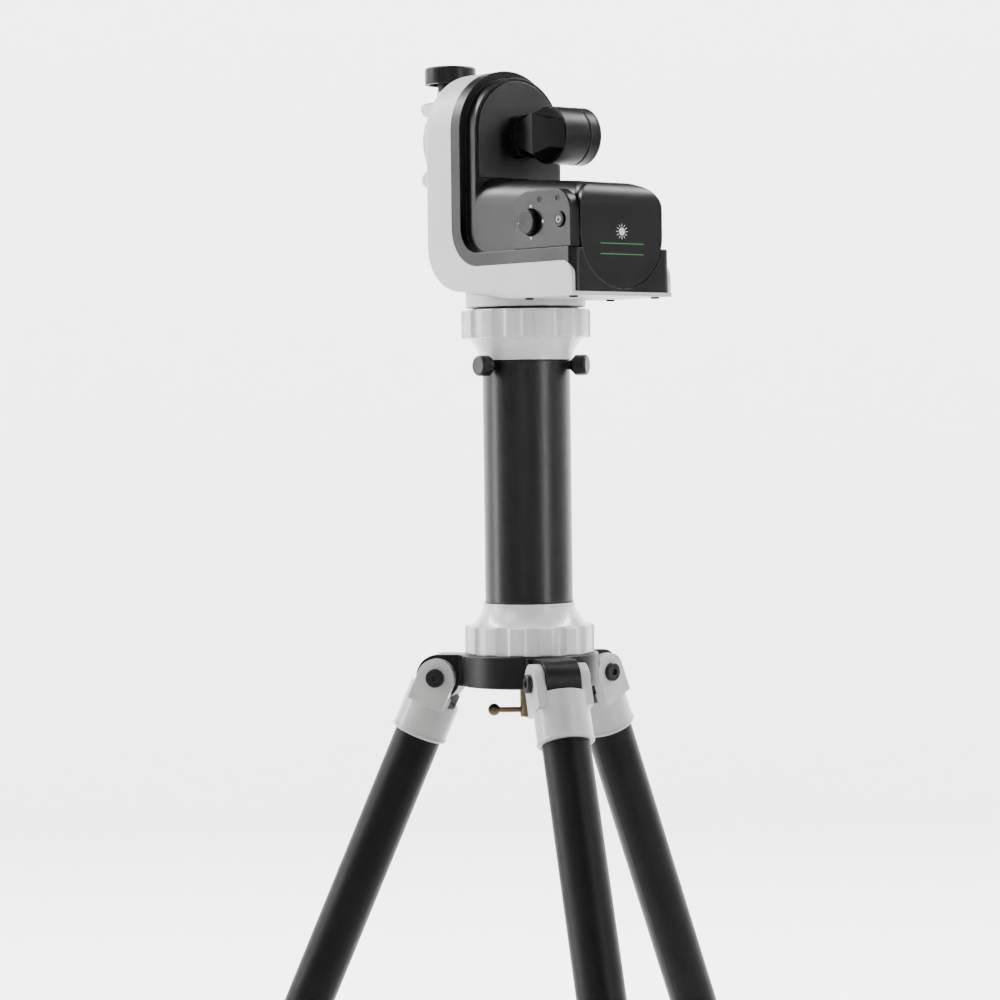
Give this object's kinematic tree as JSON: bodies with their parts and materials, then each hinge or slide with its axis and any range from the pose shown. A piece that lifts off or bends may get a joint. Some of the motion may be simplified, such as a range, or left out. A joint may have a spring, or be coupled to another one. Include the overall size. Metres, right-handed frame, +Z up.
{
  "type": "solar tracking telescope mount",
  "caption": "Motorised single-arm alt-azimuth tracking head with sun sensor and dovetail saddle on a pier extension and folding field tripod",
  "frame": {"origin": "on the ground directly under the pier, on the azimuth axis", "axes": "+Z up along the azimuth axis; +X along the altitude axis from the dovetail saddle to the battery end; +Y the way the telescope points; the keys face -Y"},
  "size_m": [0.5714, 0.532, 1.0235],
  "materials": {
    "white_paint": "glossy white powder coat",
    "white_shell": "smooth satin white moulding",
    "black_metal": "satin black anodised and painted metal",
    "black_plastic": "satin black moulded plastic",
    "plate_plastic": "satin black face plate",
    "leg_tube": "fine textured black powder coat",
    "inner_tube": "satin anodised tube",
    "foot_rubber": "moulded black rubber",
    "bronze": "dark bronze coloured plating",
    "black_screw": "black oxide screws",
    "gear_brass": "cut brass",
    "steel": "turned steel",
    "board_green": "green circuit board",
    "cell_wrap": "printed cell sleeves without print",
    "lamp": "tinted light pipes",
    "filter_glass": "very dark solar filter"
  },
  "bodies": {
    "pier": {"tripod_hub": "black_metal", "lower_flange": "white_paint", "pier_tube": "black_metal", "upper_flange": "white_paint", "leg_pivot_bolts": "black_screw", "azimuth_spindle": "black_metal", "azimuth_gear": "gear_brass"},
    "head": {"outer_shell": "white_shell", "inner_cover": "black_plastic", "face_plate": "plate_plastic", "control_panel": "black_plastic", "led_windows": "lamp", "battery_tray": "black_plastic", "battery_cells": "cell_wrap", "base_plate": "white_shell", "base_screws": "black_screw", "chassis": "black_metal", "altitude_bearings": "steel", "azimuth_bearing": "steel", "drive_motors": "steel", "main_board": "board_green"},
    "altitude": {"altitude_shaft": "steel", "altitude_gear": "gear_brass", "saddle_plate": "white_shell", "sensor_barrel": "black_plastic", "sensor_cap": "black_plastic", "sensor_window": "filter_glass", "sensor_nose": "black_plastic"},
    "jaw": {"saddle_jaw": "black_metal"},
    "knob": {"clamp_knob": "black_plastic"},
    "az_worm": {"azimuth_worm": "steel"},
    "alt_worm": {"altitude_worm": "steel"},
    "power_key": {"power_button": "black_plastic"},
    "stick_gimbal": {"joystick_gimbal": "black_plastic"},
    "stick_rocker": {"joystick_rocker": "black_plastic"},
    "stick": {"joystick_cap": "black_plastic"},
    "battery_lid": {"battery_cover": "black_plastic"},
    "lock_bolt": {"pier_lock_bolt": "bronze", "pier_lock_bar": "bronze"},
    "thumb_1": {"pier_thumb_screw_1": "black_screw"},
    "thumb_2": {"pier_thumb_screw_2": "black_screw"},
    "thumb_3": {"pier_thumb_screw_3": "black_screw"},
    "leg_1": {"leg_clevis_1": "white_paint", "leg_outer_tube_1": "leg_tube", "leg_collar_1": "black_plastic"},
    "lower_leg_1": {"leg_inner_tube_1": "inner_tube", "leg_foot_1": "foot_rubber"},
    "leg_knob_1": {"leg_lock_knob_1": "black_plastic"},
    "leg_2": {"leg_clevis_2": "white_paint", "leg_outer_tube_2": "leg_tube", "leg_collar_2": "black_plastic"},
    "lower_leg_2": {"leg_inner_tube_2": "inner_tube", "leg_foot_2": "foot_rubber"},
    "leg_knob_2": {"leg_lock_knob_2": "black_plastic"},
    "leg_3": {"leg_clevis_3": "white_paint", "leg_outer_tube_3": "leg_tube", "leg_collar_3": "black_plastic"},
    "lower_leg_3": {"leg_inner_tube_3": "inner_tube", "leg_foot_3": "foot_rubber"},
    "leg_knob_3": {"leg_lock_knob_3": "black_plastic"}
  },
  "joints": [
    {"name": "azimuth", "type": "hinge", "parent": "pier", "child": "head", "pos_m": [0, 0, 0.8565], "axis": [0, 0, 1], "continuous": true},
    {"name": "altitude", "type": "hinge", "parent": "head", "child": "altitude", "pos_m": [0, 0, 0.969], "axis": [1, 0, 0], "range_deg": [-15, 90]},
    {"name": "clamp_screw", "type": "hinge", "parent": "altitude", "child": "knob", "pos_m": [-0.079, 0, 1.017], "axis": [0, 0, 1], "range_deg": [0, 720]},
    {"name": "clamp_jaw", "type": "slide", "parent": "altitude", "child": "jaw", "axis": [0, 0, 1], "range_m": [0, 0.0025]},
    {"name": "azimuth_worm_turn", "type": "hinge", "parent": "head", "child": "az_worm", "pos_m": [0.032, 0, 0.875], "axis": [0, 1, 0], "continuous": true},
    {"name": "altitude_worm_turn", "type": "hinge", "parent": "head", "child": "alt_worm", "pos_m": [-0.0385, 0, 0.937], "axis": [0, 1, 0], "range_deg": [-1080, 6480]},
    {"name": "power_press", "type": "slide", "parent": "head", "child": "power_key", "axis": [0, 1, 0], "range_m": [0, 0.0007], "stiffness_N_per_m": 1500},
    {"name": "stick_left_right", "type": "hinge", "parent": "head", "child": "stick_gimbal", "pos_m": [0.0584, -0.0394, 0.906], "axis": [0, 0, 1], "range_deg": [-6, 6], "stiffness_Nm_per_rad": 0.05},
    {"name": "stick_up_down", "type": "hinge", "parent": "stick_gimbal", "child": "stick_rocker", "pos_m": [0.0584, -0.0394, 0.906], "axis": [1, 0, 0], "range_deg": [-6, 6], "stiffness_Nm_per_rad": 0.05},
    {"name": "stick_press", "type": "slide", "parent": "stick_rocker", "child": "stick", "axis": [0, 1, 0], "range_m": [0, 0.0008], "stiffness_N_per_m": 1500},
    {"name": "battery_lid_off", "type": "slide", "parent": "head", "child": "battery_lid", "axis": [1, 0, 0], "range_m": [0, 0.06]},
    {"name": "pier_bolt_turn", "type": "hinge", "parent": "pier", "child": "lock_bolt", "pos_m": [0, 0, 0.5774], "axis": [0, 0, 1], "continuous": true},
    {"name": "thumb_1_turn", "type": "hinge", "parent": "pier", "child": "thumb_1", "pos_m": [0.00133, -0.03798, 0.8124], "axis": [0.0349, -0.9994, 0], "continuous": true},
    {"name": "thumb_2_turn", "type": "hinge", "parent": "pier", "child": "thumb_2", "pos_m": [0.03223, 0.02014, 0.8124], "axis": [0.848, 0.5299, 0], "continuous": true},
    {"name": "thumb_3_turn", "type": "hinge", "parent": "pier", "child": "thumb_3", "pos_m": [-0.03355, 0.01784, 0.8124], "axis": [-0.8829, 0.4695, 0], "continuous": true},
    {"name": "leg_1_fold", "type": "hinge", "parent": "pier", "child": "leg_1", "pos_m": [0.05707, -0.02423, 0.6], "axis": [0.3907, 0.9205, 0], "range_deg": [0, 23.5]},
    {"name": "leg_1_extend", "type": "slide", "parent": "leg_1", "child": "lower_leg_1", "axis": [0.3671, -0.1558, -0.9171], "range_m": [0, 0.35]},
    {"name": "leg_1_lock", "type": "hinge", "parent": "leg_1", "child": "leg_knob_1", "pos_m": [0.28941, -0.12285, 0.09474], "axis": [0.8442, -0.3583, 0.3987], "continuous": true},
    {"name": "leg_2_fold", "type": "hinge", "parent": "pier", "child": "leg_2", "pos_m": [-0.00756, 0.06154, 0.6], "axis": [-0.9925, -0.1219, 0], "range_deg": [0, 23.5]},
    {"name": "leg_2_extend", "type": "slide", "parent": "leg_2", "child": "lower_leg_2", "axis": [-0.0486, 0.3958, -0.9171], "range_m": [0, 0.35]},
    {"name": "leg_2_lock", "type": "hinge", "parent": "leg_2", "child": "leg_knob_2", "pos_m": [-0.03832, 0.31206, 0.09474], "axis": [-0.1118, 0.9102, 0.3987], "continuous": true},
    {"name": "leg_3_fold", "type": "hinge", "parent": "pier", "child": "leg_3", "pos_m": [-0.04952, -0.03731, 0.6], "axis": [0.6018, -0.7986, 0], "range_deg": [0, 23.5]},
    {"name": "leg_3_extend", "type": "slide", "parent": "leg_3", "child": "lower_leg_3", "axis": [-0.3185, -0.24, -0.9171], "range_m": [0, 0.35]},
    {"name": "leg_3_lock", "type": "hinge", "parent": "leg_3", "child": "leg_knob_3", "pos_m": [-0.2511, -0.18921, 0.09474], "axis": [-0.7324, -0.5519, 0.3987], "continuous": true}
  ],
  "couplings": [
    {"joint": "azimuth_worm_turn", "follows": "azimuth", "ratio": 72},
    {"joint": "altitude_worm_turn", "follows": "altitude", "ratio": 72},
    {"joint": "clamp_screw", "follows": "clamp_jaw", "rad_per_m": 5026.5}
  ]
}
